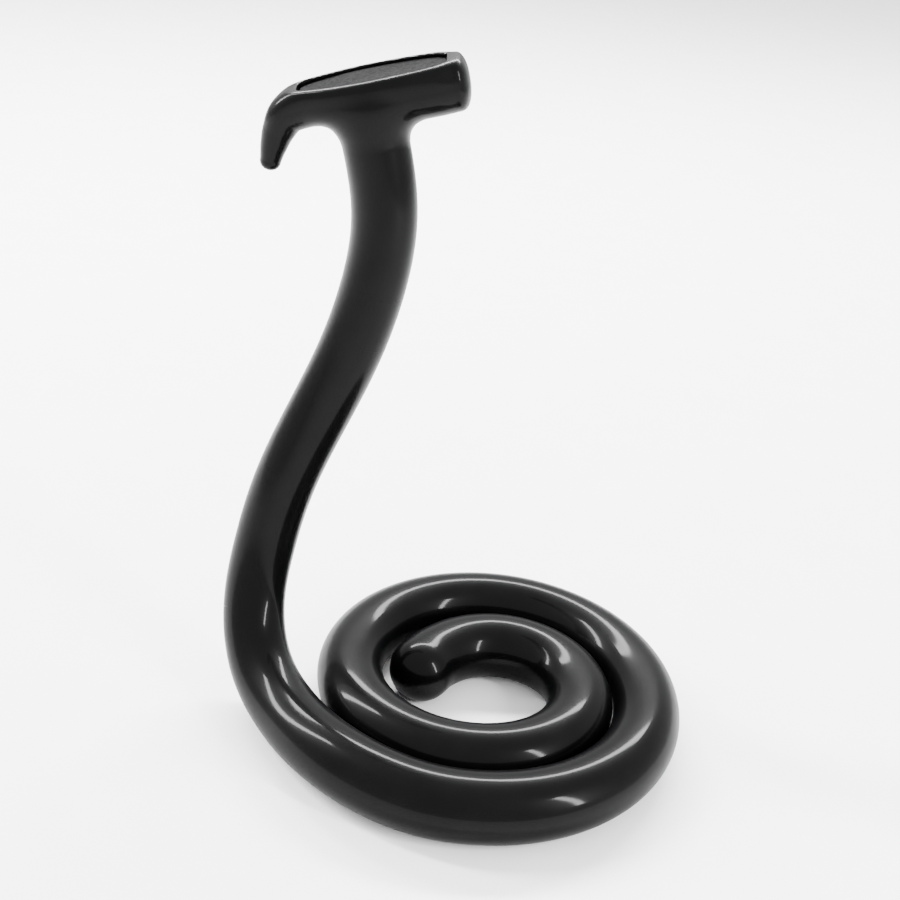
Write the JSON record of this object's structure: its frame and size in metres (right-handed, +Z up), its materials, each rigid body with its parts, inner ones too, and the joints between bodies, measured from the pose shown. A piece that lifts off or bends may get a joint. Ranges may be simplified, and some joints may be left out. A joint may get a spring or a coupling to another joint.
{
  "type": "posable snake desk stand",
  "caption": "Posable stand: a round black rod coiled flat as a weighted base, rising in an S-shaped ball-and-socket neck to a T-shaped head with a shallow dish and a beak.",
  "frame": {"origin": "middle of the whole object's footprint, on the surface it stands on", "axes": "+Z up, +Y towards the back, +X to the right as seen from the front"},
  "size_m": [0.211, 0.1822, 0.2898],
  "materials": {
    "skin_rubber": "glossy smooth moulded black rubber skin",
    "pad_rubber": "matt fine-textured inlay",
    "ballast_steel": "bent mild steel bar, mill finish",
    "fitting_steel": "turned and plated steel",
    "link_acetal": "moulded natural acetal",
    "cap_plastic": "dipped red vinyl end cap"
  },
  "bodies": {
    "coil": {"coil_skin": "skin_rubber", "coil_bar": "ballast_steel", "bar_end_cap": "cap_plastic", "neck_anchor": "fitting_steel"},
    "link_1": {"neck_link_1": "link_acetal", "neck_sleeve_1": "skin_rubber"},
    "link_2": {"neck_link_2": "link_acetal", "neck_sleeve_2": "skin_rubber"},
    "link_3": {"neck_link_3": "link_acetal", "neck_sleeve_3": "skin_rubber"},
    "link_4": {"neck_link_4": "link_acetal", "neck_sleeve_4": "skin_rubber"},
    "link_5": {"neck_link_5": "link_acetal", "neck_sleeve_5": "skin_rubber"},
    "link_6": {"neck_link_6": "link_acetal", "neck_sleeve_6": "skin_rubber"},
    "link_7": {"neck_link_7": "link_acetal", "neck_sleeve_7": "skin_rubber"},
    "link_8": {"neck_link_8": "link_acetal", "neck_sleeve_8": "skin_rubber"},
    "head": {"head_skin": "skin_rubber", "head_socket": "link_acetal", "head_bar": "fitting_steel", "head_screw": "fitting_steel", "dish_pad": "pad_rubber"}
  },
  "joints": [
    {"name": "bend_1", "type": "hinge", "parent": "coil", "child": "link_1", "pos_m": [-0.09173, 0.01759, 0.05051], "axis": [-0.0263, 0.9277, -0.3724], "range_deg": [-24, 3]},
    {"name": "sway_2", "type": "hinge", "parent": "link_1", "child": "link_2", "pos_m": [-0.08881, 0.0244, 0.07199], "axis": [0.984, 0, -0.1784], "range_deg": [-25, 11]},
    {"name": "bend_3", "type": "hinge", "parent": "link_2", "child": "link_3", "pos_m": [-0.08373, 0.02843, 0.09378], "axis": [-0.0428, 0.9877, -0.1507], "range_deg": [-24, 12]},
    {"name": "sway_4", "type": "hinge", "parent": "link_3", "child": "link_4", "pos_m": [-0.0763, 0.03186, 0.115], "axis": [0.9287, 0, -0.3707], "range_deg": [-21, 16]},
    {"name": "bend_5", "type": "hinge", "parent": "link_4", "child": "link_5", "pos_m": [-0.06792, 0.03437, 0.13599], "axis": [-0.0325, 0.9964, -0.0788], "range_deg": [-18, 19]},
    {"name": "sway_6", "type": "hinge", "parent": "link_5", "child": "link_6", "pos_m": [-0.0596, 0.03596, 0.1571], "axis": [0.9464, 0, -0.3229], "range_deg": [-19, 17]},
    {"name": "bend_7", "type": "hinge", "parent": "link_6", "child": "link_7", "pos_m": [-0.05303, 0.03706, 0.17885], "axis": [-0.01, 0.9992, -0.0396], "range_deg": [-12, 25]},
    {"name": "sway_8", "type": "hinge", "parent": "link_7", "child": "link_8", "pos_m": [-0.04899, 0.0381, 0.2012], "axis": [0.9928, 0, -0.1196], "range_deg": [-17, 16]},
    {"name": "head_swivel", "type": "hinge", "parent": "link_8", "child": "head", "pos_m": [-0.04824, 0.03907, 0.22388], "axis": [-0.0814, 0.0285, 0.9963], "range_deg": [-90, 90]}
  ]
}
